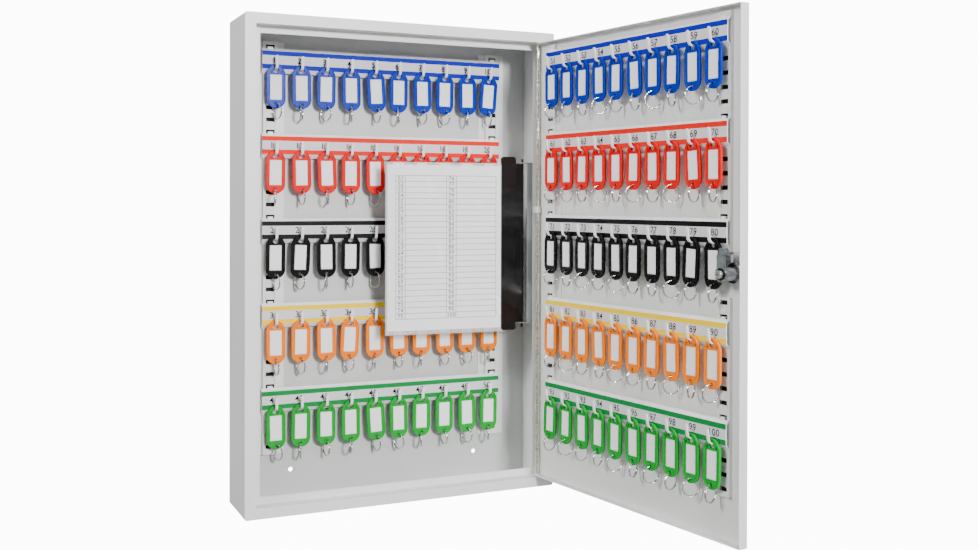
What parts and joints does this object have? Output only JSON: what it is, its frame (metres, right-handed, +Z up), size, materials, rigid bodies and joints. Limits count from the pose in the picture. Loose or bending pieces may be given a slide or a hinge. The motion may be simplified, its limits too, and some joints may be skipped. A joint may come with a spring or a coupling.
{
  "type": "wall key cabinet",
  "caption": "Shallow wall cabinet for keys with a hinged door, numbered hook rails, coloured key tags, a cam lock and a swing-out index holder.",
  "frame": {"origin": "middle of the cabinet's back face, which stands against the wall", "axes": "+X to the right, -Y out of the wall towards the user, +Z up"},
  "size_m": [0.41, 0.4162, 0.55],
  "materials": {
    "cabinet_paint": "fine satin powder coat, light grey",
    "door_paint": "fine satin powder coat, light grey",
    "rail_paint": "satin light grey",
    "label_card": "printed number strip with a coloured edge",
    "rod_steel": "bright drawn wire",
    "bracket_steel": "dark grey",
    "lock_chrome": "satin nickel",
    "cam_steel": "zinc plated",
    "screw_steel": "zinc plated",
    "black_plastic": "semi gloss black",
    "clear_film": "clear flexible film",
    "paper": "printed paper",
    "tag_blue": "moulded plastic",
    "tag_red": "moulded plastic",
    "tag_black": "moulded plastic",
    "tag_orange": "moulded plastic",
    "tag_green": "moulded plastic",
    "tag_card": "blank card",
    "ring_wire": "bright wire"
  },
  "bodies": {
    "cabinet": {"back_panel": "cabinet_paint", "left_wall": "cabinet_paint", "right_wall": "cabinet_paint", "top_wall": "cabinet_paint", "bottom_wall": "cabinet_paint", "body_upright_left": "cabinet_paint", "body_upright_right": "cabinet_paint", "body_rails": "rail_paint", "body_label_strips": "label_card", "hinge_rod": "rod_steel", "hinge_lug": "cabinet_paint", "index_bracket": "bracket_steel"},
    "door": {"door_panel": "door_paint", "door_upright_hinge_side": "door_paint", "door_upright_lock_upper": "door_paint", "door_upright_lock_lower": "door_paint", "door_rails": "rail_paint", "door_label_strips": "label_card", "lock_barrel": "lock_chrome", "lock_nut": "lock_chrome"},
    "lock": {"lock_plug": "lock_chrome", "lock_cam": "cam_steel", "star_washer": "cam_steel", "cam_screw": "screw_steel"},
    "holder": {"holder_spine": "black_plastic", "sleeve": "clear_film", "index_sheet": "paper"},
    "body_tags_1": {"body_tag_frames_1": "tag_blue", "body_tag_inserts_1": "tag_card", "body_tag_rings_1": "ring_wire"},
    "body_tags_2": {"body_tag_frames_2": "tag_red", "body_tag_inserts_2": "tag_card", "body_tag_rings_2": "ring_wire"},
    "body_tags_3": {"body_tag_frames_3": "tag_black", "body_tag_inserts_3": "tag_card", "body_tag_rings_3": "ring_wire"},
    "body_tags_4": {"body_tag_frames_4": "tag_orange", "body_tag_inserts_4": "tag_card", "body_tag_rings_4": "ring_wire"},
    "body_tags_5": {"body_tag_frames_5": "tag_green", "body_tag_inserts_5": "tag_card", "body_tag_rings_5": "ring_wire"},
    "door_tags_1": {"door_tag_frames_1": "tag_blue", "door_tag_inserts_1": "tag_card", "door_tag_rings_1": "ring_wire"},
    "door_tags_2": {"door_tag_frames_2": "tag_red", "door_tag_inserts_2": "tag_card", "door_tag_rings_2": "ring_wire"},
    "door_tags_3": {"door_tag_frames_3": "tag_black", "door_tag_inserts_3": "tag_card", "door_tag_rings_3": "ring_wire"},
    "door_tags_4": {"door_tag_frames_4": "tag_orange", "door_tag_inserts_4": "tag_card", "door_tag_rings_4": "ring_wire"},
    "door_tags_5": {"door_tag_frames_5": "tag_green", "door_tag_inserts_5": "tag_card", "door_tag_rings_5": "ring_wire"}
  },
  "joints": [
    {"name": "door_hinge", "type": "hinge", "parent": "cabinet", "child": "door", "pos_m": [0.169, -0.075, 0], "axis": [0, 0, 1], "range_deg": [-97.76, 8]},
    {"name": "lock_turn", "type": "hinge", "parent": "door", "child": "lock", "pos_m": [0.2173, -0.39985, 0.0015], "axis": [-0.9908, -0.135, 0], "range_deg": [-90, 0]},
    {"name": "holder_swing", "type": "hinge", "parent": "cabinet", "child": "holder", "pos_m": [0.157, -0.056, 0.02], "axis": [0, 0, 1], "range_deg": [0, 70]},
    {"name": "body_tags_1_swing", "type": "hinge", "parent": "cabinet", "child": "body_tags_1", "pos_m": [-0.003, -0.0137, 0.2238], "axis": [-1, 0, 0], "range_deg": [0, 12]},
    {"name": "body_tags_2_swing", "type": "hinge", "parent": "cabinet", "child": "body_tags_2", "pos_m": [-0.003, -0.0137, 0.1258], "axis": [-1, 0, 0], "range_deg": [0, 12]},
    {"name": "body_tags_3_swing", "type": "hinge", "parent": "cabinet", "child": "body_tags_3", "pos_m": [-0.003, -0.0137, 0.0278], "axis": [-1, 0, 0], "range_deg": [0, 12]},
    {"name": "body_tags_4_swing", "type": "hinge", "parent": "cabinet", "child": "body_tags_4", "pos_m": [-0.003, -0.0137, -0.0702], "axis": [-1, 0, 0], "range_deg": [0, 12]},
    {"name": "body_tags_5_swing", "type": "hinge", "parent": "cabinet", "child": "body_tags_5", "pos_m": [-0.003, -0.0137, -0.1682], "axis": [-1, 0, 0], "range_deg": [0, 12]},
    {"name": "door_tags_1_swing", "type": "hinge", "parent": "door", "child": "door_tags_1", "pos_m": [0.18399, -0.24947, 0.2282], "axis": [-0.135, 0.9908, 0], "range_deg": [0, 12]},
    {"name": "door_tags_2_swing", "type": "hinge", "parent": "door", "child": "door_tags_2", "pos_m": [0.18399, -0.24947, 0.1302], "axis": [-0.135, 0.9908, 0], "range_deg": [0, 12]},
    {"name": "door_tags_3_swing", "type": "hinge", "parent": "door", "child": "door_tags_3", "pos_m": [0.18399, -0.24947, 0.0322], "axis": [-0.135, 0.9908, 0], "range_deg": [0, 6]},
    {"name": "door_tags_4_swing", "type": "hinge", "parent": "door", "child": "door_tags_4", "pos_m": [0.18399, -0.24947, -0.0658], "axis": [-0.135, 0.9908, 0], "range_deg": [0, 12]},
    {"name": "door_tags_5_swing", "type": "hinge", "parent": "door", "child": "door_tags_5", "pos_m": [0.18399, -0.24947, -0.1638], "axis": [-0.135, 0.9908, 0], "range_deg": [0, 12]}
  ]
}
